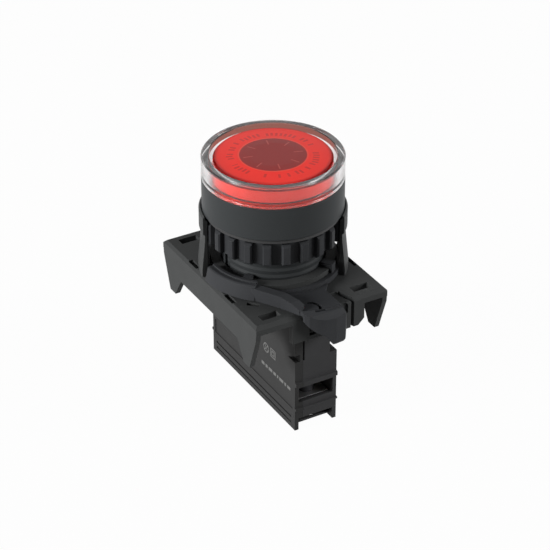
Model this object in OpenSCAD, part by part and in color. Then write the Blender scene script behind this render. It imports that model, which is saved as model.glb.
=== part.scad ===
// Panel pilot light: lamp head, ring nut, clip-on holder and LED block with screw terminals.
// Origin on the lamp axis, in the plane of the panel's front face; +Z towards the lens,
// -Y towards the lock lever's grip. Millimetres.

/* [Panel and bezel] */
// Diameter of the hole in the panel
panel_hole_d = 22.3; // [21.6:0.1:23]
// Radial play of the barrel in the panel hole
hole_play = 0.25; // [0.15:0.05:0.4]
// Outer diameter of the bezel
bezel_d = 29.5; // [28.8:0.1:32]
// Height of the bezel above the panel
bezel_h = 7.6; // [7:0.2:10]
// Wall of the bezel round the lens
bezel_wall = 1.45; // [1.35:0.05:1.6]
// Floor of the bezel over the panel
bezel_floor = 2; // [1.6:0.2:2.6]
// Wall of the barrel
barrel_wall = 1.5; // [1.2:0.1:1.8]
// Number of bayonet lugs at the barrel's end
lug_count = 4; // [3:1:6]
// Width of a bayonet lug, in degrees
lug_angle = 8; // [6:0.5:8.5]
// Height of a bayonet lug
lug_h = 1.2; // [0.9:0.1:1.4]
// How far a bayonet lug stands out of the barrel
lug_out = 1; // [0.8:0.1:1.1]

/* [Guard and lens] */
// Height of the clear guard above the bezel
guard_h = 4.8; // [4:0.2:7]
// Wall of the clear guard
guard_wall = 1.65; // [1.3:0.05:1.8]
// Thickness of the guard's flange on the bezel
guard_flange = 0.6; // [0.5:0.1:1]
// Diameter of the lens
lens_d = 24.7; // [23.8:0.1:24.8]
// How far the lens lies below the guard's rim
lens_drop = 0.25; // [0.1:0.05:1]
// Rise of the lens from its edge to its middle
lens_dome = 0.3; // [0.1:0.1:0.6]
// Wall of the lens
lens_wall = 1.05; // [0.9:0.05:1.2]
// Height of the lens's foot flange
lens_flange_h = 1; // [0.8:0.1:1.4]
// Thickness of the legend disc
legend_t = 0.4; // [0.2:0.1:0.8]
// Wall of the diffuser cup
diffuser_wall = 0.7; // [0.5:0.1:0.9]
// Thickness of the lens seal
seal_t = 0.8; // [0.6:0.1:1.2]

/* [Gasket, washer and ring nut] */
// Thickness of the panel gasket
gasket_t = 0.7; // [0.5:0.1:0.8]
// Thickness of the keyed washer
washer_t = 0.45; // [0.4:0.05:0.6]
// Width of the barrel's keyways
keyway_w = 2; // [1.6:0.2:3]
// Depth of the barrel's keyways
keyway_depth = 0.6; // [0.4:0.1:0.8]
// Diameter over the nut's ribs
nut_d = 28.4; // [28:0.1:28.5]
// Height of the nut
nut_h = 5.4; // [4.6:0.1:5.6]
// Height of the nut's ribs
rib_h = 4.9; // [3.6:0.1:5]
// Number of ribs round the nut
rib_count = 22; // [16:1:26]
// Width of a rib
rib_w = 1.7; // [1.4:0.1:2.2]
// How far a rib stands out of the nut
rib_out = 1.3; // [0.8:0.05:1.4]

/* [Holder] */
// Distance from the panel's face to the holder's top
holder_drop = 13.8; // [13.8:0.1:16]
// Width of the holder
holder_w = 31; // [30.6:0.2:34]
// Length of the holder
holder_l = 40.4; // [39.6:0.2:42]
// Thickness of the holder's top plate
plate_t = 2; // [1.8:0.1:2.4]
// Thickness of the holder's side walls
side_t = 1.1; // [1:0.1:1.8]
// Thickness of the holder's end walls
end_t = 1.5; // [1.3:0.1:1.8]
// Depth of the holder's walls below its top
skirt_h = 6.6; // [6.2:0.2:8]
// Height of the rails that guide the block under the plate
rail_h = 1.6; // [1:0.1:2]
// Depth of the corner legs below the top
leg_h = 11; // [9.5:0.5:12]
// Slope of the legs' outer edges, in degrees
leg_slope = 19; // [12:1:20]
// Width of a leg's tip
leg_tip = 2.4; // [1.6:0.2:3.2]
// Height of the collar round the barrel
collar_h = 2.6; // [2.4:0.1:3]
// Wall of the collar outside its keyways
collar_wall = 1.1; // [0.9:0.1:1.3]
// Length of the windows in the top plate
window_w = 4.2; // [3.2:0.2:4.6]
// Width of the windows in the top plate
window_l = 1.9; // [1.2:0.1:2.2]

/* [Posts] */
// Angle at which the right post starts
post_start = -49; // [-52:1:-44]
// Angle covered by a post
post_angle = 40.5; // [36:0.5:43]
// Wall of a post
post_wall = 0.95; // [0.7:0.05:1.1]
// Height of the post's tip above the panel's face
post_over = 0.5; // [0:0.1:0.8]
// Height of the thick pad at a post's tip
post_pad_h = 4.1; // [3:0.1:6]

/* [Lock lever] */
// Height of the lever's outer wall above the plate
lever_h = 3.3; // [3:0.1:3.6]
// Height of the lever's ring above the plate
ring_h = 1.5; // [1.2:0.1:1.6]
// Height of the lever's arm
arm_h = 2.9; // [2.2:0.1:3]
// Width of the lever's arm
arm_w = 2; // [1.6:0.1:2.6]
// Swing of the lever from locked to open, in degrees
lever_swing = 9; // [8.6:0.1:9]
// Width of the finger grip
grip_w = 9.6; // [9:0.2:10]
// Depth of the finger grip below the plate's top
grip_drop = 7.4; // [6.4:0.2:9]
// Thickness of the finger grip
grip_t = 1.4; // [1.1:0.1:1.8]
// Width of the neck that carries the grip
neck_w = 3.6; // [3:0.1:4.2]
// How far the neck's middle lies beside the lamp axis
neck_x = 1.5; // [1.2:0.1:1.8]
// Depth of the track in the plate that the neck runs in
track_depth = 0.5; // [0.4:0.1:0.7]

/* [LED block] */
// Width of the LED block
block_w = 10; // [9.8:0.1:10.2]
// Length of the LED block
block_l = 35.6; // [35:0.1:36]
// Depth of the block's shoulder below the holder's top
shoulder_drop = 13.2; // [12.4:0.2:15]
// Height of the block from its shoulder to its foot
case_h = 17.1; // [16.8:0.1:20]
// Length of the block's upper part, between its spring fingers
upper_l = 29.2; // [28:0.2:30]
// Wall of the block's case
case_wall = 0.9; // [0.8:0.05:1]
// Thickness of the block's side cover
cover_t = 1.8; // [1.5:0.1:2.2]
// Height of the wire entries
entry_h = 3.5; // [3:0.1:3.9]
// Depth of the wire entries' top below the shoulder
entry_drop = 6.7; // [6.5:0.1:7.2]
// Depth of the open channel under the block
channel_h = 2.8; // [2:0.1:3]
// Width of the spring fingers that clip the block
finger_w = 6.1; // [5:0.1:6.6]
// Thickness of the spring fingers
finger_t = 1.2; // [1:0.1:1.4]
// Length of the release pocket in the cover's top corner
pocket_l = 2.9; // [2:0.1:3.4]
// Height of the release pocket
pocket_h = 1.65; // [1:0.05:2.2]
// Width of the release pocket
pocket_w = 1.1; // [0.8:0.1:1.4]
// Height of the shallow band along the block's side
band_h = 3.5; // [3:0.1:4.5]

/* [Terminals] */
// Distance of a terminal screw from the lamp axis
screw_y = 13.5; // [13.3:0.1:13.7]
// Diameter of the terminal screws
screw_d = 3.5; // [3:0.1:3.5]
// Diameter of the screw heads
head_d = 6.2; // [5.6:0.1:6.4]
// Height of the screw heads
head_h = 2; // [1.6:0.1:2.1]
// Thickness of the terminal plates
strip_t = 0.8; // [0.6:0.1:0.9]
// Thickness of the clamp plates
clamp_t = 1; // [0.8:0.1:1.1]

/* [Lamp] */
// Outer diameter of the lamp tower
tower_d = 9; // [8.6:0.1:9.6]
// Wall of the lamp tower
tower_wall = 0.9; // [0.7:0.05:1]
// Diameter of the light-emitting diode's dome
led_d = 5; // [4.6:0.1:5.2]
// Thickness of the circuit board
board_t = 1; // [0.8:0.1:1.2]
// Width of the circuit board
board_w = 15.8; // [14:0.2:17]

/* [Hidden] */

$fn = 64;
eps = 0.01;          // overshoot of a cut past the face it opens
seat = 0.05;         // gap between pieces that bear on each other
slip = 0.08;         // radial gap of a running fit
play = 0.15;         // gap beside a moving piece
clear = 0.3;         // gap between pieces that only pass each other
chamfer = 0.3;       // broken edge on the moulded parts

// Head
barrel_r = panel_hole_d / 2 - hole_play;
bore_r = barrel_r - barrel_wall;
bezel_r = bezel_d / 2;
cup_r = bezel_r - bezel_wall;
guard_top = bezel_h + guard_h;
guard_r = bezel_r - guard_wall;
lens_r = lens_d / 2;
guard_in_r = lens_r + 0.15;
lens_top = guard_top - lens_drop;
seal_top = bezel_floor + seal_t;
lens_in_r = lens_r - lens_wall;
lens_in_top = lens_top - lens_dome - lens_wall;
lug_r = barrel_r + lug_out;

// Nut stack below the panel plane
washer_top = -gasket_t - seat;
nut_top = washer_top - washer_t - seat;
nut_bottom = nut_top - nut_h;
nut_r = nut_d / 2;
core_r = nut_r - rib_out;

// Holder levels
plate_z = -holder_drop;
under_z = plate_z - plate_t;
skirt_z = plate_z - skirt_h;
leg_z = plate_z - leg_h;
barrel_end = plate_z + clear;
collar_in_r = barrel_r + slip;
collar_r = lug_r + play + collar_wall;
collar_top = plate_z + collar_h;
wall_x = [-7, 10];
lug_top = collar_top;
lug_first = 35;
lug_hold = 0.8;

// Lever
lever_in_r = collar_r + slip;
lever_r = nut_r + 0.1;
lever_bottom = plate_z + play;
ring_top = plate_z + ring_h;
lever_top = plate_z + lever_h;
rim_r = lever_in_r + 0.7;
sector = [177, 226];
sector_r = [lever_r + 1.4, lever_r + 0.8];
grip_in_r = holder_l / 2 + 1.6;
grip_r = grip_in_r + grip_t;
grip_x = [4.3 - grip_w, 4.3];
web_h = 0.8;
slot_w = 0.7;
track_y = -holder_l / 2 + 4;
neck_y = track_y - 1;

// Posts
post_in_r = lever_r + play;
post_r = post_in_r + post_wall;
post_top = post_over;
post_slim_r = post_r - 0.4;
post_foot_r = post_r + 0.3;
post_foot_h = 1.6;

// Block levels
half_l = block_l / 2;
half_w = block_w / 2;
shoulder_z = plate_z - shoulder_drop;
foot_z = shoulder_z - case_h;
upper_z = under_z - clear;
rail_x = half_w + clear;
rail_t = 1.2;
seam_x = cover_t - half_w;
cavity_x = half_w - case_wall;
entry_top = shoulder_z - entry_drop;
entry_z = entry_top - entry_h;
floor_z = foot_z + channel_h;
finger_x = 0.25;
finger_top = under_z - 1;
catch_z = finger_top - 2.4;
ridge_out = 0.5;
sole_t = 0.45;

// Terminals
strip_z = entry_top + 0.1;
clamp_top = entry_z - 0.1;
clamp_z = clamp_top - clamp_t;
head_top = clamp_z - seat;
head_z = head_top - head_h;
thread_r = screw_d / 2;
thread_top = strip_z + strip_t + 0.5;
leg_y = screw_y - head_d / 2 - clear;

// Lamp
tower_r = tower_d / 2;
tower_in_r = tower_r - tower_wall;
tower_top = -1.5;
led_base_z = tower_top - 1.3;
led_r = led_d / 2;
board_top = led_base_z;
board_z = shoulder_z - 4;

// One ring cut from a full revolve: outline in (radius, height), from angle a over sweep s.
module arc(a, s) {
    rotate([0, 0, a]) rotate_extrude(angle = s, $fn = 128) children();
}

// Runs its children at every one of n equal steps round the axis.
module around(n, first = 0) {
    for (i = [0 : n - 1]) rotate([0, 0, first + i * 360 / n]) children();
}

// Runs its children at the front (as drawn) and mirrored at the rear.
module both_ends() {
    children();
    mirror([0, 1, 0]) children();
}

// Plan outline raised between two heights.
module slab(z0, z1) {
    translate([0, 0, z0]) linear_extrude(z1 - z0) children();
}

// Side outline in (y, z) pushed along X between two places.
module push_x(x0, x1) {
    translate([x0, 0, 0]) rotate([90, 0, 90]) linear_extrude(x1 - x0) children();
}

// Front outline in (x, z) pushed along Y between two places.
module push_y(y0, y1) {
    translate([0, y1, 0]) rotate([90, 0, 0]) linear_extrude(y1 - y0) children();
}

module guard_ring() {
    spigot_z = seal_top + lens_flange_h + seat;
    color([0.9, 0.92, 0.93, 0.35]) rotate_extrude($fn = 160) polygon([
        [cup_r - 0.1, spigot_z], [cup_r - 0.1, bezel_h + seat],
        [bezel_r, bezel_h + seat], [bezel_r, guard_top - chamfer],
        [bezel_r - chamfer, guard_top], [guard_r + 0.15, guard_top],
        [guard_r, guard_top - 0.15], [guard_r, bezel_h + guard_flange],
        [guard_in_r, bezel_h + guard_flange], [guard_in_r, spigot_z]
    ]);
}

module lens() {
    edge = 0.45;
    rim_z = lens_top - lens_dome;
    dome_r = (lens_r * lens_r + lens_dome * lens_dome) / (2 * lens_dome);
    color([0.86, 0.07, 0.06]) difference() {
        intersection() {
            rotate_extrude($fn = 160) polygon([
                [0, seal_top], [cup_r - 0.15, seal_top],
                [cup_r - 0.15, seal_top + lens_flange_h], [lens_r, seal_top + lens_flange_h],
                [lens_r, rim_z - edge], [lens_r - edge, rim_z],
                [lens_r - edge, lens_top], [0, lens_top]
            ]);
            translate([0, 0, lens_top - dome_r]) sphere(dome_r, $fn = 160);
        }
        translate([0, 0, seal_top - eps]) cylinder(r = lens_in_r, h = lens_in_top - seal_top + eps);
    }
}

module legend_disc() {
    color([0.62, 0.05, 0.05]) translate([0, 0, lens_in_top - seat - legend_t])
        cylinder(r = lens_in_r - 0.2, h = legend_t, $fn = 128);
}

module diffuser() {
    top = lens_in_top - seat - legend_t - seat;
    color([0.93, 0.9, 0.86]) rotate_extrude($fn = 128) polygon([
        [0, top - diffuser_wall], [lens_in_r - 0.15 - diffuser_wall, top - diffuser_wall],
        [lens_in_r - 0.15 - diffuser_wall, seal_top], [lens_in_r - 0.15, seal_top],
        [lens_in_r - 0.15, top], [0, top]
    ]);
}

module lens_seal() {
    color([0.12, 0.12, 0.12]) difference() {
        translate([0, 0, bezel_floor]) cylinder(r = cup_r - 0.15, h = seal_t, $fn = 128);
        translate([0, 0, bezel_floor - eps]) cylinder(r = bore_r + 0.4, h = seal_t + 2 * eps);
    }
}

module bezel_body() {
    color([0.2, 0.21, 0.22]) difference() {
        union() {
            rotate_extrude($fn = 160) polygon([
                [bore_r, barrel_end], [barrel_r - chamfer, barrel_end],
                [barrel_r, barrel_end + chamfer], [barrel_r, 0],
                [bezel_r - 0.4, 0], [bezel_r, 0.4],
                [bezel_r, bezel_h - 0.2], [bezel_r - 0.2, bezel_h],
                [cup_r, bezel_h], [cup_r, bezel_floor], [bore_r, bezel_floor]
            ]);
            around(lug_count, lug_first) arc(-lug_angle / 2, lug_angle)
                polygon([
                    [barrel_r - 0.5, lug_top - lug_h], [lug_r, lug_top - lug_h],
                    [lug_r, lug_top], [barrel_r - 0.5, lug_top]
                ]);
        }
        around(2) translate([barrel_r - keyway_depth, -keyway_w / 2, barrel_end - eps])
            cube([keyway_depth + 1, keyway_w, -barrel_end + eps]);
    }
}

module panel_gasket() {
    color([0.1, 0.1, 0.1]) difference() {
        translate([0, 0, -gasket_t]) cylinder(r = bezel_r - 0.6, h = gasket_t, $fn = 128);
        translate([0, 0, -gasket_t - eps]) cylinder(r = barrel_r + slip, h = gasket_t + 2 * eps);
    }
}

module keyed_washer() {
    color([0.55, 0.56, 0.58]) {
        difference() {
            translate([0, 0, washer_top - washer_t])
                cylinder(r = core_r - 0.1, h = washer_t, $fn = 128);
            translate([0, 0, washer_top - washer_t - eps])
                cylinder(r = barrel_r + slip, h = washer_t + 2 * eps);
        }
        around(2) translate([barrel_r - keyway_depth + play, play - keyway_w / 2, washer_top - washer_t])
            cube([keyway_depth + slip, keyway_w - 2 * play, washer_t]);
    }
}

module ring_nut() {
    rib_top = nut_top - 0.1;
    rib_tip = 0.35;
    color([0.15, 0.155, 0.16]) difference() {
        union() {
            rotate_extrude($fn = 128) polygon([
                [barrel_r, nut_bottom], [core_r - chamfer, nut_bottom],
                [core_r, nut_bottom + chamfer], [core_r, nut_top - chamfer],
                [core_r - chamfer, nut_top], [barrel_r, nut_top]
            ]);
            intersection() {
                slab(rib_top - rib_h, rib_top) around(rib_count, -92.5) polygon([
                    [core_r - 0.5, -rib_w / 2], [nut_r - rib_tip, -rib_w / 2],
                    [nut_r + 0.1, -rib_w / 2 + rib_tip], [nut_r + 0.1, rib_w / 2 - rib_tip],
                    [nut_r - rib_tip, rib_w / 2], [core_r - 0.5, rib_w / 2]
                ]);
                rotate_extrude($fn = 128) polygon([
                    [core_r - 1, rib_top - rib_h], [nut_r - 0.5, rib_top - rib_h],
                    [nut_r, rib_top - rib_h + 0.5], [nut_r, rib_top - 0.5],
                    [nut_r - 0.5, rib_top], [core_r - 1, rib_top]
                ]);
            }
        }
        translate([0, 0, nut_bottom - eps])
            cylinder(r = barrel_r + slip, h = nut_h + 2 * eps, $fn = 128);
    }
}

// Side wall with its two sloping corner legs, in (y, z).
module side_outline() {
    top = holder_l / 2;
    bend = leg_h * 0.3;
    tip = top - 0.2 - (leg_h - bend) * tan(leg_slope);
    polygon([
        [-top + 0.8, plate_z], [-top, plate_z - 0.8], [-top + 0.2, plate_z - bend],
        [-tip, leg_z], [-tip + leg_tip, leg_z],
        [-tip + leg_tip + 2.6, skirt_z], [tip - leg_tip - 2.6, skirt_z],
        [tip - leg_tip, leg_z], [tip, leg_z],
        [top - 0.2, plate_z - bend], [top, plate_z - 0.8], [top - 0.8, plate_z]
    ]);
}

module holder_shell() {
    half = holder_w / 2;
    end = holder_l / 2;
    // Top plate with broken edges all round
    intersection() {
        push_y(-end, end) polygon([
            [-half, under_z], [-half, plate_z - 0.6], [-half + 0.6, plate_z],
            [half - 0.6, plate_z], [half, plate_z - 0.6], [half, under_z]
        ]);
        push_x(-half, half) polygon([
            [-end, under_z], [-end, plate_z - 0.8], [-end + 0.8, plate_z],
            [end - 0.8, plate_z], [end, plate_z - 0.8], [end, under_z]
        ]);
    }
    // Side walls with legs
    for (s = [-1, 1]) intersection() {
        push_x(s < 0 ? -half : half - side_t, s < 0 ? -half + side_t : half) side_outline();
        push_y(-end, end) polygon([
            [-half, leg_z], [-half, plate_z - 0.6], [-half + 0.6, plate_z],
            [half - 0.6, plate_z], [half, plate_z - 0.6], [half, leg_z]
        ]);
    }
    // Rails that guide the block
    for (x = [-rail_x - rail_t, rail_x]) translate([x, -end + 0.5, under_z - rail_h])
        cube([rail_t, holder_l - 1, rail_h + eps]);
    // End walls between the outer windows
    both_ends() push_y(-end, -end + end_t) polygon([
        [wall_x[0], under_z + eps], [wall_x[0], skirt_z], [3, skirt_z], [3.6, skirt_z - 0.3],
        [wall_x[1] - 1.4, skirt_z - 0.3], [wall_x[1], skirt_z + 1.1], [wall_x[1], under_z + eps]
    ]);
}

// Arc-shaped posts that steady the head, and the catches that keep the lever on its collar.
module post() {
    arc(post_start, post_angle) polygon([
        [post_in_r, plate_z - eps], [post_foot_r, plate_z - eps],
        [post_foot_r, plate_z + post_foot_h], [post_slim_r, post_top - post_pad_h - 1.6],
        [post_slim_r, post_top - post_pad_h - 0.4], [post_r, post_top - post_pad_h],
        [post_r, post_top - 0.4], [post_r - 0.3, post_top],
        [bezel_r + play, post_top], [bezel_r + play, -clear],
        [post_in_r, -clear - 0.3]
    ]);
    arc(post_start + post_angle - 14, 10) polygon([
        [post_in_r + 0.1, ring_top + play], [post_in_r - 0.5, ring_top + play],
        [post_in_r - 0.5, ring_top + play + 0.4], [post_in_r + 0.1, ring_top + play + 1]
    ]);
}

// Angle of the track's end, where the open lever's neck stops.
function track_end() = asin((neck_x + neck_w / 2) / grip_in_r) + lever_swing + 1 - 90;

// Shallow track that lets the lever's neck swing, and the slot that frees the hook beside it.
module neck_track() {
    x0 = neck_x - neck_w / 2 - clear;
    a = track_end();
    reach = holder_l / 2 + 4;
    slab(plate_z - track_depth, plate_z + 1) polygon([
        [x0, track_y], [x0, -reach], [reach * cos(a), reach * sin(a)],
        [track_y * cos(a) / sin(a), track_y]
    ]);
    rotate([0, 0, a]) translate([-track_y + 1.2, -0.1, skirt_z - 1]) cube([5, slot_w, skirt_h + 2]);
}

// Set-back field of the front wall beside the grip.
module wall_field() {
    x0 = neck_x + neck_w / 2 + 0.1;
    x1 = holder_l / 2 * cos(track_end()) - 0.5;
    push_y(-holder_l / 2 - 1, -holder_l / 2 + 0.5) polygon([
        [x0, plate_z - 3], [x1, plate_z - 3], [x1, plate_z - 1.1], [x1 - 0.4, plate_z - 0.6],
        [x0, plate_z - 0.6]
    ]);
}

module holder_base() {
    half = holder_w / 2;
    end = holder_l / 2;
    color([0.24, 0.245, 0.25]) difference() {
        union() {
            holder_shell();
            // Collar round the barrel
            translate([0, 0, under_z]) cylinder(r = collar_r, h = collar_top - under_z, $fn = 128);
            around(2) post();
        }
        // Way through for the lamp tower, then the barrel's seat
        translate([0, 0, under_z - 1]) cylinder(r = bore_r, h = holder_drop);
        translate([0, 0, plate_z]) cylinder(r = collar_in_r, h = collar_h + 1, $fn = 128);
        around(lug_count, lug_first) arc(-lug_angle / 2 - 1, lug_angle + 2) polygon([
            [collar_in_r - 1, lug_top - lug_h - play], [lug_r + play, lug_top - lug_h - play],
            [lug_r + play, collar_top + 1], [collar_in_r - 1, collar_top + 1]
        ]);
        // Windows near the corners
        for (x = [-10.8, 10.8], y = [-17.2, 17.2])
            translate([x - window_w / 2, y - window_l / 2, under_z - 1]) cube([window_w, window_l, plate_t + 2]);
        // Notches beside the rim
        for (x = [-half + 1, half - 1], y = [-7.75, 7.75])
            translate([x - 0.5, y - 1.75, plate_z - 0.9]) cube([1, 3.5, 2]);
        // Small slots tangent to the posts' feet
        around(2) translate([-11.6, -12, under_z - 1]) rotate([0, 0, -45])
            translate([-1.3, -0.5, 0]) cube([2.6, 1, plate_t + 2]);
        // Catches for the block's spring fingers
        both_ends() translate([finger_x - finger_w / 2 - clear, -end - 1, catch_z - clear])
            cube([finger_w + 2 * clear, end_t + 2, finger_top - catch_z + 2 * clear]);
        neck_track();
        wall_field();
    }
}

// Outer edge of the lever's arm, from the ring's wall round to the grip's face.
function arm_edge() = [
    [(sector_r[0] - 0.4) * cos(sector[1] - 3), (sector_r[0] - 0.4) * sin(sector[1] - 3)],
    [-9.1, -13.9], [-7.6, -16.4], [-6.4, -18.9], [-5.7, -grip_in_r + 1.3]
];

// Plan of the raised arm.
module arm_plan() {
    edge = arm_edge();
    n = len(edge);
    polygon(concat(edge, [for (i = [n - 1 : -1 : 0]) edge[i] + arm_w * [0.85, 0.5]]));
}

// Plan of the low web between the arm, the ring and the neck.
module web_plan() {
    difference() {
        polygon(concat(arm_edge(), [
            [neck_x - neck_w / 2, -grip_in_r + 0.2], [neck_x + neck_w / 2, -grip_in_r + 0.2],
            [neck_x + neck_w / 2, -lever_in_r - 2.6], [neck_x + neck_w / 2 + 1.8, -lever_in_r - 0.3],
            [0, -lever_in_r], [-0.62 * lever_in_r, -0.62 * lever_in_r]
        ]));
        circle(lever_in_r + 0.2);
        // Crescent between the arm and the neck
        translate([-3, -20.1]) difference() {
            circle(2.5);
            circle(1.8);
            translate([-10, -12]) square([10.4, 20]);
            translate([-10, -12]) square([20, 10.8]);
        }
    }
}

// Plan of the finger grip: it leaves the arm and bends round in front of the holder.
module grip_plan() {
    difference() {
        polygon([
            [-5.9, -grip_in_r + 2], [-5.2, -grip_in_r + 0.5], [-4.3, -grip_in_r - 0.4],
            [-2.9, -grip_in_r - 0.95], [-1, -grip_r + 0.1], [1.5, -grip_r],
            [grip_x[1] - 0.5, -grip_r + 0.25], [grip_x[1], -grip_r + 0.8],
            [grip_x[1], -grip_in_r + 1], [neck_x - neck_w / 2, -grip_in_r + 0.2],
            [-4.2, -grip_in_r + 0.9], [-5, -grip_in_r + 1]
        ]);
        intersection() {
            circle(grip_in_r, $fn = 128);
            translate([-2.6, -30]) square([10, 30]);
        }
    }
}

// Front outline of the finger grip, in (x, z).
module grip_outline() {
    x1 = grip_x[1];
    low = plate_z - grip_drop;
    polygon([
        [-6, plate_z + arm_h + 1], [-6, lever_bottom], [-5.1, lever_bottom],
        [-5, plate_z - 1.3], [-4.2, plate_z - 2.5], [-2.9, plate_z - 3.7], [-0.9, plate_z - 5],
        [0.2, low + 0.9], [0.7, low + 0.1], [1, low], [x1 - 0.9, low], [x1 - 0.3, low + 0.5],
        [x1 + 0.1, low + 3.2], [x1, plate_z - 2.4], [x1 - 0.5, plate_z - 0.4],
        [x1 - 1, plate_z + web_h], [neck_x - neck_w / 2, plate_z + web_h],
        [-2.9, plate_z + 1.2], [-4, plate_z + arm_h + 1]
    ]);
}

// Side outline the arm and the grip fall away by, in (y, z).
module grip_fall() {
    top = plate_z + arm_h;
    polygon([
        [0, top], [-grip_in_r + 6, top], [-grip_in_r + 3.4, top - 0.6],
        [-grip_in_r + 1.2, plate_z + 1.3], [-grip_in_r + 0.4, plate_z + web_h], [-grip_in_r - 0.5, plate_z + 0.2],
        [-grip_in_r - 1, plate_z - 0.5], [-grip_r - 0.1, plate_z - 1.4],
        [-grip_r - 0.1, plate_z - 12], [0, plate_z - 12]
    ]);
}

module lock_lever() {
    under = lever_in_r - 0.4;
    color([0.18, 0.185, 0.19]) {
        difference() {
            union() {
                // Ring that turns on the holder's collar
                rotate_extrude($fn = 128) polygon([
                    [under, lever_bottom + 0.1], [lever_r, lever_bottom + 0.1],
                    [lever_r, ring_top], [under, ring_top]
                ]);
                // Raised outer wall with a low rim on its inner edge
                arc(sector[0], sector[1] - sector[0]) polygon([
                    [under, lever_bottom], [sector_r[0], lever_bottom],
                    [sector_r[1], lever_top - 0.2], [sector_r[1] - 0.3, lever_top],
                    [rim_r, lever_top], [rim_r, lever_top + 0.35], [under, lever_top + 0.35]
                ]);
                slab(lever_bottom, plate_z + web_h) web_plan();
                // Arm, and the finger grip that hangs in front of the holder
                intersection() {
                    union() {
                        slab(lever_bottom, plate_z + arm_h + 1) arm_plan();
                        intersection() {
                            slab(plate_z - grip_drop - 1, plate_z + arm_h + 1) grip_plan();
                            push_y(-grip_r - 1, 0) grip_outline();
                        }
                    }
                    push_x(-20, 20) grip_fall();
                }
                // Neck, sunk into the plate's track
                slab(plate_z - track_depth + play, plate_z + web_h - 0.1)
                    translate([neck_x - neck_w / 2, -grip_in_r - 0.3])
                    square([neck_w, neck_y + grip_in_r + 0.3]);
            }
            translate([0, 0, plate_z - 10]) cylinder(r = lever_in_r, h = 20, $fn = 128);
        }
        // Lugs that hold the barrel's lugs down
        around(lug_count, lug_first) arc(-lug_angle / 2, lug_angle) polygon([
            [lever_in_r + 0.05, lever_bottom + 0.6], [rim_r - 0.1, lever_bottom + 0.6],
            [rim_r - 0.1, lug_top + play + lug_hold], [barrel_r + 2 * play, lug_top + play + lug_hold],
            [barrel_r + 2 * play, lug_top + play], [lever_in_r + 0.05, lug_top + play]
        ]);
    }
}

// Lower half of the case's side outline, from the shoulder's height to the foot, in (y, z).
function case_low() = [
    [half_l, entry_top + 1.7], [half_l + ridge_out, entry_top + 1.5],
    [half_l + ridge_out, entry_top + 0.6], [half_l, entry_top + 0.6],
    [half_l, entry_z - 1.3], [half_l + ridge_out, entry_z - 1.4],
    [half_l + ridge_out, entry_z - 1.8], [half_l, entry_z - 2],
    [half_l, foot_z]
];

// Side outline from one end's points, top middle first, and their mirror image.
module both_ends_outline(pts) {
    n = len(pts);
    polygon(concat(pts, [for (i = [n - 1 : -1 : 0]) [-pts[i][0], pts[i][1]]]));
}

module case_outline() {
    both_ends_outline(concat([
        [upper_l / 2 - 0.6, upper_z], [upper_l / 2, upper_z - 0.6],
        [upper_l / 2, shoulder_z], [half_l, shoulder_z]
    ], case_low()));
}

// The cover rises to the holder over its full length.
module cover_outline() {
    both_ends_outline(concat([[half_l - 0.4, upper_z], [half_l, upper_z - 0.4]], case_low()));
}

// Everything the case is hollowed by: chamber, wire entries, channel and screwdriver holes.
module case_hollow() {
    y_in = half_l - case_wall;
    difference() {
        push_x(-cavity_x, cavity_x) polygon([
            [-y_in, floor_z + 0.8], [y_in, floor_z + 0.8], [y_in, shoulder_z - case_wall],
            [upper_l / 2 - case_wall, shoulder_z - case_wall], [upper_l / 2 - case_wall, upper_z - case_wall],
            [case_wall - upper_l / 2, upper_z - case_wall], [case_wall - upper_l / 2, shoulder_z - case_wall],
            [-y_in, shoulder_z - case_wall]
        ]);
        // Dividers between the terminals and the middle chamber
        both_ends() translate([-cavity_x - 1, -leg_y, floor_z])
            cube([2 * cavity_x + 2, strip_t, strip_z - floor_z - seat]);
    }
    // Wire entries right through both ends
    both_ends() translate([-cavity_x, -half_l - 1, entry_z]) cube([2 * cavity_x, case_wall + 1.5, entry_h]);
    // Channel along the foot, with a thin sole that stops short of both ends
    difference() {
        translate([-cavity_x, -half_l - 1, foot_z - 1]) cube([2 * cavity_x, block_l + 2, channel_h + 1]);
        translate([-cavity_x - 1, -half_l + 1.2, foot_z + 0.8]) cube([2 * cavity_x + 2, block_l - 2.4, sole_t]);
    }
    // Screwdriver holes: a narrow one through the sole, a wide one for the head
    both_ends() translate([0, -screw_y, foot_z + 0.5]) cylinder(r = head_d / 2 - 0.6, h = channel_h);
    both_ends() translate([0, -screw_y, floor_z - 0.2]) cylinder(r = head_d / 2 + 0.2, h = 2);
    // Slot for the circuit board's neck
    translate([-board_t / 2 - 0.1, -3.2, upper_z - 2]) cube([board_t + 0.2, 6.4, 3]);
}

module block_housing() {
    color([0.2, 0.205, 0.21]) {
        difference() {
            push_x(seam_x + 0.02, half_w) case_outline();
            case_hollow();
        }
        // Spring fingers with their hooks
        both_ends() push_x(finger_x - finger_w / 2, finger_x + finger_w / 2) polygon([
            [-half_l, shoulder_z - eps], [-half_l, catch_z],
            [-holder_l / 2 + 0.4, catch_z], [-holder_l / 2 + 0.4, catch_z + 0.5],
            [-half_l, finger_top], [-half_l + finger_t, finger_top],
            [-half_l + finger_t, shoulder_z - eps]
        ]);
    }
}

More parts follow.
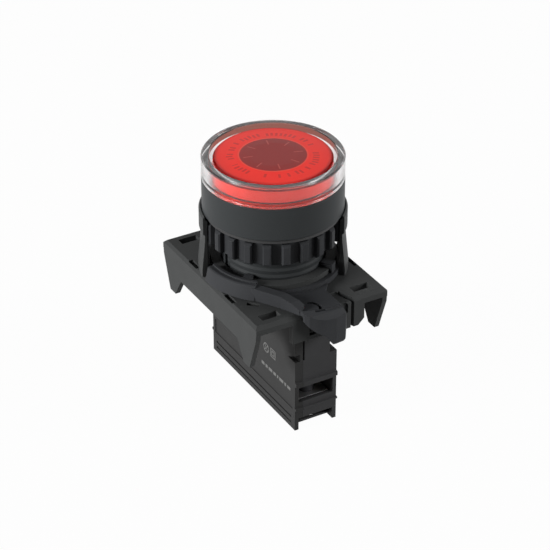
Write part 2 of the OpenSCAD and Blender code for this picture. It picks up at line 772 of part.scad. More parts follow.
module block_cover() {
    color([0.22, 0.225, 0.23]) difference() {
        push_x(-half_w, seam_x - 0.02) cover_outline();
        case_hollow();
        // Long shallow band below the print
        translate([-half_w - 1, -half_l + 1, foot_z + 5]) cube([1.15, block_l - 2, band_h]);
        // Long grooves above the foot
        for (z = [foot_z + 1.1, foot_z + 2.5])
            translate([-half_w - 1, -half_l + 1.5, z]) cube([1.25, block_l - 3, 0.5]);
        // Release pockets for a screwdriver's tip
        both_ends() push_x(-half_w - 1, -half_w + pocket_w) polygon([
            [-half_l - 1, shoulder_z], [-half_l + pocket_l, shoulder_z],
            [-half_l, shoulder_z + pocket_h], [-half_l - 1, shoulder_z + pocket_h]
        ]);
    }
}

module lamp_tower() {
    foot_r = half_w - 0.1;
    color([0.85, 0.85, 0.82]) rotate_extrude($fn = 96) polygon([
        [tower_in_r, upper_z], [foot_r, upper_z], [foot_r, upper_z + 1.1],
        [tower_r, upper_z + 1.6], [tower_r, tower_top],
        [led_r + 0.1, tower_top], [led_r + 0.1, tower_top - 0.4], [tower_in_r, tower_top - 0.4]
    ]);
}

module led() {
    color([0.95, 0.93, 0.9]) {
        translate([0, 0, led_base_z]) cylinder(r = led_r + 0.4, h = 0.8);
        translate([0, 0, led_base_z + 0.7]) cylinder(r = led_r, h = 2.2);
        translate([0, 0, led_base_z + 2.9]) sphere(led_r);
    }
    color([0.75, 0.75, 0.75]) for (s = [-1, 1])
        translate([s * (board_t / 2 + 0.25) - 0.25, -0.25, led_base_z - 3.2]) cube([0.5, 0.5, 3.3]);
}

module circuit_board() {
    neck = 2.9;
    wide = board_w / 2;
    color([0.1, 0.4, 0.22]) push_x(-board_t / 2, board_t / 2) polygon([
        [-wide, board_z], [wide, board_z], [wide, upper_z - case_wall - 0.3],
        [neck, upper_z - case_wall - 0.3], [neck, board_top],
        [-neck, board_top], [-neck, upper_z - case_wall - 0.3], [-wide, upper_z - case_wall - 0.3]
    ]);
}

// Axial part lying along Y on the board's face, with a lead at each end.
module axial(r, l, y, z, paint) {
    translate([board_t / 2 + r, y, z]) rotate([90, 0, 0]) color(paint) {
        translate([0, 0, -l / 2]) cylinder(r = r, h = l, $fn = 48);
        translate([0, 0, -l / 2 - 1.2]) cylinder(r = 0.25, h = l + 2.4, $fn = 16);
    }
    color([0.75, 0.75, 0.75]) for (s = [-1, 1])
        translate([board_t / 2, y + s * (l / 2 + 1.1) - 0.25, z - 0.25]) cube([r, 0.5, 0.5]);
}

module resistor() {
    axial(0.9, 5, 0, shoulder_z + 7, [0.72, 0.6, 0.42]);
}

module capacitor() {
    axial(1.5, 6, 1, shoulder_z + 2.4, [0.2, 0.28, 0.5]);
}

module rectifier() {
    size = [1.9, 5, 4];
    color([0.12, 0.12, 0.13]) translate([-board_t / 2 - size[0], -size[1] / 2, shoulder_z + 3]) cube(size);
    color([0.75, 0.75, 0.75]) for (y = [-2, 2])
        translate([-board_t / 2 - 0.4, y - 0.3, shoulder_z + 2]) cube([0.4, 0.6, 1.2]);
}

module terminal_plate() {
    wide = cavity_x - 0.1;
    color([0.78, 0.62, 0.3]) difference() {
        union() {
            push_x(-wide, wide) polygon([
                [-half_l + case_wall + 0.1, strip_z], [-leg_y + strip_t, strip_z],
                [-leg_y + strip_t, strip_z + 4.4], [-leg_y, strip_z + 4.4],
                [-leg_y, strip_z + strip_t], [-half_l + case_wall + 0.1, strip_z + strip_t]
            ]);
            // Tab soldered to the board's face
            translate([board_t / 2, -leg_y + strip_t - eps, strip_z + 3.6])
                cube([2.5, leg_y - strip_t - 6.4, 0.8]);
        }
        translate([0, -screw_y, strip_z - 1]) cylinder(r = thread_r + 0.05, h = strip_t + 2);
    }
}

module terminal_plate_front() {
    terminal_plate();
}

module terminal_plate_rear() {
    mirror([0, 1, 0]) terminal_plate();
}

module clamp_plate() {
    half = cavity_x - 0.4;
    reach = 3;
    color([0.7, 0.7, 0.72]) difference() {
        push_x(-half, half) polygon([
            [-screw_y - reach, clamp_z], [-screw_y + reach - 0.4, clamp_z],
            [-screw_y + reach - 0.4, clamp_top], [-screw_y - reach, clamp_top]
        ]);
        translate([0, -screw_y, clamp_z - 1]) cylinder(r = thread_r + 0.05, h = clamp_t + 2);
    }
}

module clamp_plate_front() {
    clamp_plate();
}

module clamp_plate_rear() {
    mirror([0, 1, 0]) clamp_plate();
}

module terminal_screw() {
    color([0.75, 0.75, 0.77]) translate([0, -screw_y, 0]) difference() {
        union() {
            rotate_extrude($fn = 48) polygon([
                [0, head_z], [head_d / 2 - 0.5, head_z], [head_d / 2, head_z + 0.5],
                [head_d / 2, head_top], [0, head_top]
            ]);
            translate([0, 0, head_top - eps]) cylinder(r = thread_r, h = thread_top - head_top + eps, $fn = 48);
        }
        // Crossed driver slots
        for (a = [0, 90]) rotate([0, 0, a])
            translate([-head_d / 2 + (a == 0 ? -1 : 1.2), -0.45, head_z - 1])
                cube([a == 0 ? head_d + 2 : head_d - 2.4, 0.9, 1.9]);
    }
}

module terminal_screw_front() {
    terminal_screw();
}

module terminal_screw_rear() {
    mirror([0, 1, 0]) terminal_screw();
}

guard_ring();
lens();
legend_disc();
diffuser();
lens_seal();
bezel_body();
panel_gasket();
keyed_washer();
ring_nut();
holder_base();
lock_lever();
block_housing();
block_cover();
lamp_tower();
led();
circuit_board();
resistor();
capacitor();
rectifier();
terminal_plate_front();
terminal_plate_rear();
clamp_plate_front();
clamp_plate_rear();
terminal_screw_front();
terminal_screw_rear();
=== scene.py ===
# %% [markdown]
# # A panel pilot light, dressed for its picture
#
# The lamp head, ring nut, holder and LED block arrive as exact solids in metres. This
# lesson gives them their plastics and metals, prints a plain dial under the lens, adds
# the small marks on the block and sets up a quiet studio. Nothing moves out of its
# place, so the joints still work in every pose.

# %% Load the fixed frame
import math

import bmesh
import bpy
from mathutils import Matrix, Vector


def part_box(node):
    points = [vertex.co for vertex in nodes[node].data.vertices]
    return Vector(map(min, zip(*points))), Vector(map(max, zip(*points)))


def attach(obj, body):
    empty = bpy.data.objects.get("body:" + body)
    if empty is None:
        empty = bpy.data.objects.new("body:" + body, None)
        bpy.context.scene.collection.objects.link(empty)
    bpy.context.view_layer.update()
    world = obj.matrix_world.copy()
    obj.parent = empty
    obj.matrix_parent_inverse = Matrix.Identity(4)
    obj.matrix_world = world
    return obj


MM = 0.001
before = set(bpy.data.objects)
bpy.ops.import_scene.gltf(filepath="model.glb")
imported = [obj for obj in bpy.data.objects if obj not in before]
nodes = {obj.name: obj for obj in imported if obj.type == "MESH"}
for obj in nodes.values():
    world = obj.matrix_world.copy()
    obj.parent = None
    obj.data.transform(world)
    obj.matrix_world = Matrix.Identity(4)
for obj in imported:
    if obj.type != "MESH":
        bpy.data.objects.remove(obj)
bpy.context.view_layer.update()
print("nodes in the frame:", len(nodes))

# %% [markdown]
# ## Places taken from the frame
#
# Every added mark is placed from the boxes of the solids it sits on, so it would follow
# if the part were packed in another size.

# %% Read the heights and radii that the finishes need
lens_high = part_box("lens")[1]
guard_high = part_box("guard_ring")[1]
cover_low, cover_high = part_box("block_cover")
block_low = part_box("block_housing")[0]
nut_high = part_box("ring_nut")[1]

DIAL_SHARE = 0.56
lens_radius = 12.35 * MM
dial_radius = lens_radius * DIAL_SHARE
foot_z = min(cover_low.z, block_low.z)
print("lens top at %.2f mm, foot at %.2f mm" % (lens_high.z / MM, foot_z / MM))

# %% [markdown]
# ## Colours
#
# Colours are written as the sRGB numbers a painter would read off a swatch, and turned
# into the linear values that a shader works in.


# %% Turn a swatch into a shader colour
def swatch(red, green, blue):
    """Linear colour of an sRGB swatch given in 0..255."""

    def linear(value):
        value /= 255
        return value / 12.92 if value <= 0.04045 else ((value + 0.055) / 1.055) ** 2.4

    return (linear(red), linear(green), linear(blue), 1.0)


# %% [markdown]
# ## A small kit for node trees
#
# A procedural finish is a short chain of nodes. The class keeps the chain readable: each
# call adds one node, sets its inputs and returns its output. A number goes straight into
# a socket, and an output is linked to it.


# %% Add nodes and links in one line each
class Finish:
    """A material with a Principled shader and helpers that add nodes before it."""

    def __init__(self, name, colour, roughness):
        self.material = bpy.data.materials.new(name)
        self.material.use_nodes = True
        self.tree = self.material.node_tree
        self.shader = self.tree.nodes["Principled BSDF"]
        self.place = self.add("ShaderNodeTexCoord").outputs["Object"]
        self.shader.inputs["Base Color"].default_value = colour
        self.shader.inputs["Roughness"].default_value = roughness

    def add(self, kind, **settings):
        node = self.tree.nodes.new(kind)
        for key, value in settings.items():
            setattr(node, key, value)
        return node

    def feed(self, socket, value):
        if isinstance(value, bpy.types.NodeSocket):
            self.tree.links.new(value, socket)
        else:
            socket.default_value = value

    def math(self, operation, *values):
        node = self.add("ShaderNodeMath", operation=operation)
        for socket, value in zip(node.inputs, values):
            self.feed(socket, value)
        return node.outputs[0]

    def split_place(self):
        """X, Y and Z of a point on the piece."""
        parts = self.add("ShaderNodeSeparateXYZ")
        self.feed(parts.inputs[0], self.place)
        return parts.outputs["X"], parts.outputs["Y"], parts.outputs["Z"]

    def radius(self, x, y):
        """Distance from the lamp axis."""
        across = self.math("MULTIPLY", x, x)
        along = self.math("MULTIPLY", y, y)
        return self.math("SQRT", self.math("ADD", across, along))

    def turns(self, x, y):
        """Angle round the lamp axis, where a full turn is 1."""
        return self.math("DIVIDE", self.math("ARCTAN2", y, x), 2 * math.pi)

    def noise(self, grain_size, detail=2.0, where=None):
        node = self.add("ShaderNodeTexNoise")
        self.feed(node.inputs["Vector"], where or self.place)
        node.inputs["Scale"].default_value = 1 / grain_size
        node.inputs["Detail"].default_value = detail
        return node.outputs["Fac"]

    def blend(self, factor, first, second):
        node = self.add("ShaderNodeMix", data_type="RGBA")
        self.feed(node.inputs["Factor"], factor)
        self.feed(node.inputs[6], first)
        self.feed(node.inputs[7], second)
        return node.outputs[2]

    def set(self, **values):
        """Sets sockets of the shader by name, with _ for a space."""
        for key, value in values.items():
            self.feed(self.shader.inputs[key.replace("_", " ")], value)
        return self

    def relief(self, height, depth, strength=1.0, edge=0.0):
        """Bump from a height, over edges that look rounded by the given radius."""
        bump = self.add("ShaderNodeBump")
        self.feed(bump.inputs["Height"], height)
        bump.inputs["Distance"].default_value = depth
        bump.inputs["Strength"].default_value = strength
        if edge:
            rounded = self.add("ShaderNodeBevel", samples=6)
            rounded.inputs["Radius"].default_value = edge
            self.feed(bump.inputs["Normal"], rounded.outputs[0])
        self.feed(self.shader.inputs["Normal"], bump.outputs[0])
        return self


# %% [markdown]
# ## Moulded plastics
#
# The holder, lever, nut, bezel and block are glass-filled nylon in one charcoal family.
# A mould leaves a very fine grain, and the colour drifts a little across each face. The
# edges of a moulding are never sharp: a bevel shader rounds them in the light only, so
# the solids keep their sizes.


# %% One recipe for every charcoal moulding
SATIN_GLOSS = 0.06


def moulding(name, colour, roughness, grain=0.12 * MM, drift=0.12, edge=0.12 * MM):
    finish = Finish(name, colour, roughness)
    dark = tuple(c * (1 - drift) for c in colour[:3]) + (1.0,)
    light = tuple(min(1.0, c * (1 + drift)) for c in colour[:3]) + (1.0,)
    finish.set(Base_Color=finish.blend(finish.noise(5 * MM, 3), dark, light))
    finish.set(Specular_IOR_Level=SATIN_GLOSS)
    finish.relief(finish.noise(grain, 3), 0.012 * MM, 0.6, edge)
    return finish


holder_finish = moulding("charcoal nylon, holder", swatch(56, 57, 57), 0.5)
lever_finish = moulding("charcoal nylon, lock lever", swatch(50, 51, 53), 0.46)
nut_finish = moulding("charcoal nylon, ring nut", swatch(46, 47, 49), 0.44)
block_finish = moulding("charcoal nylon, LED block", swatch(56, 56, 57), 0.5)
cover_finish = moulding("charcoal nylon, block cover", swatch(47, 47, 47), 0.52)
print("moulded finishes made:", 5)

# %% [markdown]
# ## The bezel and its thread
#
# The bezel is one moulding with the threaded barrel. The thread is only 0.06 mm clear of
# the nut, so it is drawn as relief: the height climbs by one pitch for each turn round
# the axis, which is what makes a helix, and only the barrel below the panel carries it.

# %% Satin bezel with a helical thread in relief
THREAD_PITCH = 1.5 * MM
THREAD_DEPTH = 0.5 * MM

bezel_finish = Finish("charcoal nylon, bezel", swatch(50, 52, 53), 0.42)
bezel_finish.set(Specular_IOR_Level=SATIN_GLOSS)
bezel_x, bezel_y, bezel_z = bezel_finish.split_place()
climb = bezel_finish.math("DIVIDE", bezel_z, THREAD_PITCH)
helix = bezel_finish.math("ADD", climb, bezel_finish.turns(bezel_x, bezel_y))
flank = bezel_finish.math("PINGPONG", helix, 0.5)
below_panel = bezel_finish.math("LESS_THAN", bezel_z, nut_high.z)
thread = bezel_finish.math("MULTIPLY", flank, below_panel)
bezel_finish.relief(thread, THREAD_DEPTH, 0.9, edge=0.15 * MM)
print("thread pitch %.2f mm" % (THREAD_PITCH / MM))

# %% [markdown]
# ## The dial seen through the lens
#
# A pilot light's lens covers a printed disc. Here the disc is plain: a dark middle circle
# with eight short ticks and a ring of small bars where a maker would print ratings. All
# of it is worked out from a point's distance and angle round the lamp axis, so it stays
# sharp at any size.

# %% Masks from radius and angle
lens_finish = Finish("red acrylic lens", swatch(224, 44, 36), 0.2)
lens_x, lens_y, lens_z = lens_finish.split_place()
radius = lens_finish.radius(lens_x, lens_y)
angle = lens_finish.turns(lens_x, lens_y)


def soft_step(value, edge, softness):
    """0 below the edge and 1 above it, turning over a short soft distance."""
    node = lens_finish.add("ShaderNodeMapRange", interpolation_type="SMOOTHSTEP")
    lens_finish.feed(node.inputs["Value"], value)
    node.inputs["From Min"].default_value = edge - softness / 2
    node.inputs["From Max"].default_value = edge + softness / 2
    return node.outputs["Result"]


def band(value, low, high, softness):
    """1 between low and high, 0 outside."""
    inside = soft_step(value, low, softness)
    outside = soft_step(value, high, softness)
    return lens_finish.math("SUBTRACT", inside, outside)


def spokes(count, half_width, first=0.0):
    """1 on a number of radial lines of even width, the first at an angle in degrees."""
    step = lens_finish.math("MULTIPLY_ADD", angle, count, -first * count / 360)
    offset = lens_finish.math("PINGPONG", step, 0.5)
    arc_length = lens_finish.math("MULTIPLY", offset, radius)
    width = lens_finish.math("MULTIPLY", arc_length, 2 * math.pi / count)
    return lens_finish.math("SUBTRACT", 1.0, soft_step(width, half_width, 0.1 * MM))


PRINT_SOFTNESS = 0.22 * MM
OUTLINE_WIDTH = 0.3 * MM
TICK_COUNT = 8
TICK_HALF_WIDTH = 0.13 * MM
TICK_FROM, TICK_TO = 0.62, 0.9
middle = lens_finish.math("SUBTRACT", 1.0, soft_step(radius, dial_radius, PRINT_SOFTNESS))
outline = band(radius, dial_radius, dial_radius + OUTLINE_WIDTH, PRINT_SOFTNESS)
tick_reach = band(radius, dial_radius * TICK_FROM, dial_radius * TICK_TO, PRINT_SOFTNESS)
ticks = lens_finish.math("MULTIPLY", spokes(TICK_COUNT, TICK_HALF_WIDTH, first=28), tick_reach)
print("dial radius %.2f mm" % (dial_radius / MM))

# %% A ring of small bars in place of printed words
BAR_COUNT = 58
BARS_LEFT_OUT = 0.28
BAR_HALF_WIDTH = 0.26 * MM
BAR_SPREAD = 0.5 * MM
BARS_FROM, BARS_TO = 0.64, 0.745
cell = lens_finish.math("ROUND", lens_finish.math("MULTIPLY", angle, BAR_COUNT))
chance = lens_finish.add("ShaderNodeTexWhiteNoise", noise_dimensions="1D")
lens_finish.feed(chance.inputs["W"], cell)
bar_shown = lens_finish.math("GREATER_THAN", chance.outputs["Value"], BARS_LEFT_OUT)
bar_height = lens_finish.math("MULTIPLY", chance.outputs["Value"], BAR_SPREAD)
ring_low = lens_finish.math("SUBTRACT", radius, bar_height)
ring_band = band(ring_low, lens_radius * BARS_FROM, lens_radius * BARS_TO, PRINT_SOFTNESS)
bars = lens_finish.math("MULTIPLY", spokes(BAR_COUNT, BAR_HALF_WIDTH), ring_band)
bars = lens_finish.math("MULTIPLY", bars, bar_shown)

# %% Colour of the lens over its dial
LENS_RIM_HEIGHT = 0.9 * MM
BAR_STRENGTH = 0.6
OUTLINE_STRENGTH = 0.5
TICK_STRENGTH = 0.6


def printed(under, mask, strength, colour):
    """Lays one printed colour over another where its mask is."""
    return lens_finish.blend(lens_finish.math("MULTIPLY", mask, strength), under, colour)


# Painted shade: the outer rim of the lens is coloured a darker red for the shade at its edge.
painted_shade_rim = soft_step(radius, lens_radius * 0.94, 0.8 * MM)
red = lens_finish.blend(painted_shade_rim, swatch(248, 36, 20), swatch(214, 22, 14))
red = printed(red, bars, BAR_STRENGTH, swatch(172, 26, 20))
red = lens_finish.blend(middle, red, swatch(142, 30, 26))
red = printed(red, outline, OUTLINE_STRENGTH, swatch(236, 80, 60))
red = printed(red, ticks, TICK_STRENGTH, swatch(196, 84, 74))
# Painted glow: the lens's side walls are coloured a lighter red for light glowing through the
# clear edge.
painted_glow_side = lens_finish.math("LESS_THAN", lens_z, lens_high.z - LENS_RIM_HEIGHT)
red = lens_finish.blend(painted_glow_side, red, swatch(232, 54, 40))
lens_finish.set(Base_Color=red, Specular_IOR_Level=0.15, Coat_Weight=0.05, Coat_Roughness=0.12)
lens_finish.set(
    Subsurface_Weight=0.15, Subsurface_Radius=(1.2, 0.15, 0.1), Subsurface_Scale=1.0 * MM
)
lens_finish.relief(lens_finish.noise(2.5 * MM, 1), 0.01 * MM, 0.4, 0.2 * MM)

# %% [markdown]
# ## The clear guard
#
# The ring round the lens is clear acrylic. A Principled shader with full transmission
# bends the light as acrylic does, with an index of 1.49. A trace of roughness keeps the
# highlights of the studio soft. Its inner wall above the lens is painted a dark red, as
# painted shade and a painted reflection of the lens's red.

# %% Clear acrylic
CLEAR_ACRYLIC = (0.95, 0.93, 0.935, 1.0)
PAINTED_SHADE_RED = (0.1, 0.018, 0.012, 1.0)
INNER_WALL_DEPTH = 1.45 * MM
INNER_WALL_START = 1.0 * MM
guard_finish = Finish("clear acrylic guard", CLEAR_ACRYLIC, 0.12)
guard_x, guard_y, guard_z = guard_finish.split_place()
from_axis = guard_finish.radius(guard_x, guard_y)
# Painted shade and painted reflection: the inner wall above the lens is coloured dark red.
on_inner_wall = guard_finish.math("LESS_THAN", from_axis, guard_high.x - INNER_WALL_DEPTH)
above_lens = guard_finish.math("GREATER_THAN", guard_z, lens_high.z - INNER_WALL_START)
painted_shade_zone = guard_finish.math("MULTIPLY", on_inner_wall, above_lens)
guard_finish.set(Base_Color=guard_finish.blend(painted_shade_zone, CLEAR_ACRYLIC, PAINTED_SHADE_RED))
guard_finish.set(Transmission_Weight=1.0, IOR=1.49)

# %% [markdown]
# ## Rubber, metals and the parts inside
#
# Plated steel and brass are metals with a little roughness that varies along
# the rolling direction. The keyed washer and the terminal screws are steel painted dark, as
# painted shade under the bezel and inside the wire entries. The parts on the board get the
# plain colours an assembler knows: green board, tan resistor, dark blue capacitor, black
# rectifier and a milky LED.


# %% Metals with rolled grain
def metal(name, colour, roughness, stretch):
    finish = Finish(name, colour, roughness)
    turned = finish.add("ShaderNodeMapping")
    finish.feed(turned.inputs["Vector"], finish.place)
    turned.inputs["Scale"].default_value = stretch
    streaks = finish.noise(0.4 * MM, 4, turned.outputs[0])
    spread = finish.add("ShaderNodeMapRange")
    finish.feed(spread.inputs["Value"], streaks)
    spread.inputs["To Min"].default_value = roughness - 0.08
    spread.inputs["To Max"].default_value = roughness + 0.12
    finish.set(Metallic=1.0, Roughness=spread.outputs["Result"])
    finish.relief(streaks, 0.01 * MM, 0.5, 0.08 * MM)
    return finish


steel_finish = metal("dull zinc-plated steel", swatch(150, 151, 153), 0.42, (0.2, 1, 1))
# Painted shade: the keyed washer's steel is made dark for the shade under the bezel.
shade_dark_steel_finish = metal("steel darkened as painted shade", swatch(70, 70, 72), 0.42, (1, 1, 1))
# Painted shade: the terminal screws are made dark for the shade inside the wire entries.
screw_finish = metal("screw steel darkened as painted shade", swatch(56, 56, 58), 0.6, (1, 1, 0.2))
brass_finish = metal("stamped brass", swatch(214, 176, 104), 0.28, (1, 0.2, 1))
print("metals made:", 4)


# %% Plain finishes inside the lamp
def plain(name, colour, roughness, edge=0.08 * MM, **sockets):
    finish = Finish(name, colour, roughness).set(**sockets)
    return finish.relief(finish.noise(0.3 * MM, 2), 0.008 * MM, 0.5, edge)


rubber_finish = plain("black rubber", swatch(30, 30, 31), 0.75)
legend_finish = plain("printed legend disc", swatch(176, 44, 40), 0.5)
diffuser_finish = plain("milky diffuser", swatch(240, 236, 228), 0.45)
tower_finish = plain("white lamp tower", swatch(226, 226, 220), 0.45)
led_finish = plain("milky LED epoxy", swatch(244, 238, 226), 0.15, Coat_Weight=0.4)
board_finish = plain("green solder mask", swatch(34, 108, 62), 0.35, Coat_Weight=0.3)
resistor_finish = plain("tan resistor lacquer", swatch(196, 166, 120), 0.35)
capacitor_finish = plain("blue capacitor sleeve", swatch(48, 62, 112), 0.28, Coat_Weight=0.4)
chip_finish = plain("black moulded rectifier", swatch(36, 36, 38), 0.5)
print("finishes inside:", 9)

# %% Give each solid its finish
worn_by = {
    guard_finish: ["guard_ring"],
    lens_finish: ["lens"],
    legend_finish: ["legend_disc"],
    diffuser_finish: ["diffuser"],
    rubber_finish: ["lens_seal", "panel_gasket"],
    bezel_finish: ["bezel_body"],
    shade_dark_steel_finish: ["keyed_washer"],
    steel_finish: ["clamp_plate_front", "clamp_plate_rear"],
    nut_finish: ["ring_nut"],
    holder_finish: ["holder_base"],
    lever_finish: ["lock_lever"],
    block_finish: ["block_housing"],
    cover_finish: ["block_cover"],
    tower_finish: ["lamp_tower"],
    led_finish: ["led"],
    board_finish: ["circuit_board"],
    resistor_finish: ["resistor"],
    capacitor_finish: ["capacitor"],
    chip_finish: ["rectifier"],
    brass_finish: ["terminal_plate_front", "terminal_plate_rear"],
    screw_finish: ["terminal_screw_front", "terminal_screw_rear"],
}
for finish, names in worn_by.items():
    for name in names:
        mesh = nodes[name].data
        mesh.materials.clear()
        mesh.materials.append(finish.material)
print("solids dressed:", sum(len(names) for names in worn_by.values()))

# %% [markdown]
# ## Marks on the block
#
# Makers pad-print a few grey marks on the side of an LED block. Two general symbols are
# used here, the lamp of wiring diagrams and the double square of double insulation, over a
# row of short bars that stands for a line of print. Each is a skin of ink 0.03 mm thick,
# pressed from a flat shape that lies in the block's side face.

# %% A skin of ink on the side cover
INK_THICKNESS = 0.03 * MM
cover_face_x = cover_low.x
ink_finish = plain("grey pad-print ink", swatch(90, 90, 89), 0.6, edge=0.0)


def onto_cover(mesh, y, z):
    """Turns a flat shape from the floor plane into the cover's left face."""
    upright = Matrix(((0, 0, -1, 0), (1, 0, 0, 0), (0, -1, 0, 0), (0, 0, 0, 1)))
    place = Matrix.Translation(Vector((cover_face_x, y, z)))
    bmesh.ops.transform(mesh, matrix=place @ upright, verts=mesh.verts)


def press(mesh, name):
    """Gives the flat ink its thickness and makes it an object of the lamp's body."""
    bmesh.ops.remove_doubles(mesh, verts=mesh.verts, dist=INK_THICKNESS / 100)
    flat = list(mesh.faces)
    grown = bmesh.ops.extrude_face_region(mesh, geom=flat)
    raised = [item for item in grown["geom"] if isinstance(item, bmesh.types.BMVert)]
    bmesh.ops.translate(mesh, vec=Vector((-INK_THICKNESS, 0, 0)), verts=raised)
    bmesh.ops.recalc_face_normals(mesh, faces=mesh.faces)
    data = bpy.data.meshes.new(name)
    mesh.to_mesh(data)
    mesh.free()
    piece = bpy.data.objects.new(name, data)
    bpy.context.scene.collection.objects.link(piece)
    data.materials.append(ink_finish.material)
    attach(piece, "base")
    return piece


# %% Two general symbols: a lamp, and the double square of double insulation
SYMBOL_RADIUS = 1.15 * MM
SYMBOL_PITCH = 2.8 * MM
STROKE = 0.22 * MM
SYMBOL_FROM_END = 12.5 * MM
SYMBOL_FROM_TOP = 14.0 * MM
symbol_y = cover_low.y + SYMBOL_FROM_END
symbol_z = cover_high.z - SYMBOL_FROM_TOP


def flat_ring(radius, segments, turn=0.0):
    """A flat ring: a round one with many segments, a square one with four."""
    mesh = bmesh.new()
    bmesh.ops.create_circle(mesh, cap_ends=True, segments=segments, radius=radius)
    inner = bmesh.ops.inset_region(
        mesh, faces=list(mesh.faces), thickness=STROKE, use_boundary=True, use_even_offset=True
    )
    middle_faces = [face for face in mesh.faces if face not in inner["faces"]]
    bmesh.ops.delete(mesh, geom=middle_faces, context="FACES")
    bmesh.ops.rotate(mesh, cent=Vector(), matrix=Matrix.Rotation(turn, 3, "Z"), verts=mesh.verts)
    return mesh


def flat_bar(mesh, length, width, centre=(0, 0), turn=0.0):
    made = bmesh.ops.create_grid(mesh, x_segments=1, y_segments=1, size=0.5)["verts"]
    bmesh.ops.scale(mesh, vec=Vector((length, width, 1)), verts=made)
    bmesh.ops.rotate(mesh, cent=Vector(), matrix=Matrix.Rotation(turn, 3, "Z"), verts=made)
    bmesh.ops.translate(mesh, vec=Vector((*centre, 0)), verts=made)


ring = flat_ring(SYMBOL_RADIUS, 40)
onto_cover(ring, symbol_y, symbol_z)
press(ring, "lamp_symbol_ring")
for number, turn in enumerate((math.pi / 4, -math.pi / 4)):
    stroke = bmesh.new()
    flat_bar(stroke, 2 * (SYMBOL_RADIUS - STROKE), STROKE, turn=turn)
    onto_cover(stroke, symbol_y, symbol_z)
    press(stroke, "lamp_symbol_stroke_%d" % number)
for number, share in enumerate((1.3, 0.7)):
    square = flat_ring(SYMBOL_RADIUS * share, 4, math.pi / 4)
    onto_cover(square, symbol_y - SYMBOL_PITCH, symbol_z)
    press(square, "insulation_symbol_%d" % number)
print("symbols at y %.1f, z %.1f mm" % (symbol_y / MM, symbol_z / MM))

# %% A row of short bars that stand for print
BAR_HEIGHT = 0.75 * MM
BAR_GAP = 0.45 * MM
ROW_FROM_END = 2.4 * MM
ROW_FROM_TOP = 18.6 * MM
bar_lengths = (1.3, 0.7, 1.7, 0.5, 1.1, 1.5, 0.9, 1.2)
rows = bmesh.new()
bar_start = 0.0
for length in bar_lengths:
    length *= MM
    flat_bar(rows, length, BAR_HEIGHT, (bar_start + length / 2, 0))
    bar_start += length + BAR_GAP
onto_cover(rows, cover_low.y + ROW_FROM_END, cover_high.z - ROW_FROM_TOP)
press(rows, "print_row")

# %% [markdown]
# ## Floor, light and background
#
# The floor is one large pale plane under the block's foot. Three broad lamps give a low
# key from the left, a low fill from the right and a faint top light, so the side walls of
# the dark mouldings stand out from their tops. Broad lamps keep the shadow edges soft.

# %% Show a surface as white paper to the camera, in mirrors and through glass
def white_to_camera(tree, share, kind="ShaderNodeEmission"):
    """Mixes plain white into a material for the rays that make the background."""
    path = tree.nodes.new("ShaderNodeLightPath")
    seen = path.outputs["Is Camera Ray"]
    for name in ("Is Glossy Ray", "Is Transmission Ray"):
        either = tree.nodes.new("ShaderNodeMath")
        either.operation = "MAXIMUM"
        tree.links.new(seen, either.inputs[0])
        tree.links.new(path.outputs[name], either.inputs[1])
        seen = either.outputs[0]
    part = tree.nodes.new("ShaderNodeMath")
    part.operation = "MULTIPLY"
    tree.links.new(seen, part.inputs[0])
    part.inputs[1].default_value = share
    white = tree.nodes.new(kind)
    white.inputs["Color"].default_value = (1, 1, 1, 1)
    white.inputs["Strength"].default_value = 1.0
    mixed = tree.nodes.new("ShaderNodeMixShader")
    output = next(node for node in tree.nodes if node.type.startswith("OUTPUT"))
    lit = output.inputs["Surface"].links[0].from_socket
    tree.links.new(part.outputs[0], mixed.inputs["Fac"])
    tree.links.new(lit, mixed.inputs[1])
    tree.links.new(white.outputs[0], mixed.inputs[2])
    tree.links.new(mixed.outputs[0], output.inputs["Surface"])


# %% Pale floor under the foot
FLOOR_SIZE = 3.0
FLOOR_WHITENESS = 0.975
floor_mesh = bmesh.new()
bmesh.ops.create_grid(floor_mesh, x_segments=1, y_segments=1, size=FLOOR_SIZE)
bmesh.ops.translate(floor_mesh, vec=Vector((0, 0, foot_z)), verts=floor_mesh.verts)
floor_data = bpy.data.meshes.new("floor")
floor_mesh.to_mesh(floor_data)
floor_mesh.free()
floor = bpy.data.objects.new("floor", floor_data)
bpy.context.scene.collection.objects.link(floor)
floor_finish = Finish("pale paper floor", swatch(170, 170, 169), 0.9)
floor_finish.set(Specular_IOR_Level=0.1)
white_to_camera(floor_finish.tree, FLOOR_WHITENESS)
floor_data.materials.append(floor_finish.material)

# %% Three broad lamps and an even surround
aim = Vector((0, 0, (guard_high.z + foot_z) / 2))


def broad_lamp(name, azimuth, elevation, distance, size, watts):
    """An area lamp on a sphere round the object, facing it."""
    turn, rise = math.radians(azimuth), math.radians(elevation)
    level = math.cos(rise)
    direction = Vector((math.sin(turn) * level, math.cos(turn) * level, math.sin(rise)))
    lamp = bpy.data.lights.new(name, "AREA")
    lamp.shape = "DISK"
    lamp.size = size
    lamp.energy = watts
    holder = bpy.data.objects.new(name, lamp)
    holder.location = aim + direction * distance
    holder.rotation_euler = (-direction).to_track_quat("-Z", "Y").to_euler()
    bpy.context.scene.collection.objects.link(holder)
    return holder


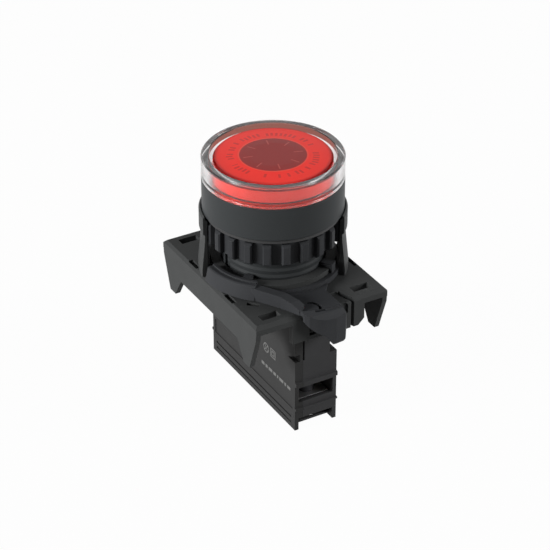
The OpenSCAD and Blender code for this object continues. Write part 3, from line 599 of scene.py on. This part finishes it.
broad_lamp("left lamp", azimuth=274, elevation=18, distance=0.9, size=0.4, watts=12.5)
broad_lamp("right lamp", azimuth=128, elevation=17, distance=1.0, size=0.5, watts=9.0)
broad_lamp("top lamp", azimuth=205, elevation=75, distance=1.0, size=0.4, watts=0.5)

SURROUND_STRENGTH = 0.06
world = bpy.data.worlds.new("studio surround")
bpy.context.scene.world = world
world.use_nodes = True
surround = world.node_tree.nodes["Background"]
surround.inputs["Color"].default_value = (1, 1, 1, 1)
surround.inputs["Strength"].default_value = SURROUND_STRENGTH
white_to_camera(world.node_tree, 1.0, "ShaderNodeBackground")

scene = bpy.context.scene
scene.view_settings.view_transform = "Standard"

# %% [markdown]
# ## The camera
#
# The lamp is seen from its front left corner and from above, from about 0.43 m with a
# long lens. The camera is placed by azimuth, elevation and distance round a point on
# the lamp axis, and a small shift frames it without turning the view.

# %% Place the camera
VIEW_AZIMUTH = math.radians(29.942)
VIEW_ELEVATION = math.radians(30.985)
VIEW_DISTANCE = 430.3 * MM
FOCAL_LENGTH = 135.19
FRAMING_SHIFT = (0.00338, -0.05938)
view_target = Vector((0, 0, -8.8 * MM))

forward = Vector(
    (
        math.sin(VIEW_AZIMUTH) * math.cos(VIEW_ELEVATION),
        math.cos(VIEW_AZIMUTH) * math.cos(VIEW_ELEVATION),
        -math.sin(VIEW_ELEVATION),
    )
)
rightward = Vector((math.cos(VIEW_AZIMUTH), -math.sin(VIEW_AZIMUTH), 0))
upward = rightward.cross(forward)

camera_data = bpy.data.cameras.new("catalogue camera")
camera_data.sensor_width = 36
camera_data.lens = FOCAL_LENGTH
camera_data.shift_x, camera_data.shift_y = FRAMING_SHIFT
camera_data.clip_start = 10 * MM
camera_data.clip_end = 20
camera = bpy.data.objects.new("catalogue camera", camera_data)
turned = Matrix((rightward, upward, -forward)).transposed().to_4x4()
camera.matrix_world = Matrix.Translation(view_target - forward * VIEW_DISTANCE) @ turned
scene.collection.objects.link(camera)
scene.camera = camera
print("camera %.0f mm from the lamp" % (VIEW_DISTANCE / MM))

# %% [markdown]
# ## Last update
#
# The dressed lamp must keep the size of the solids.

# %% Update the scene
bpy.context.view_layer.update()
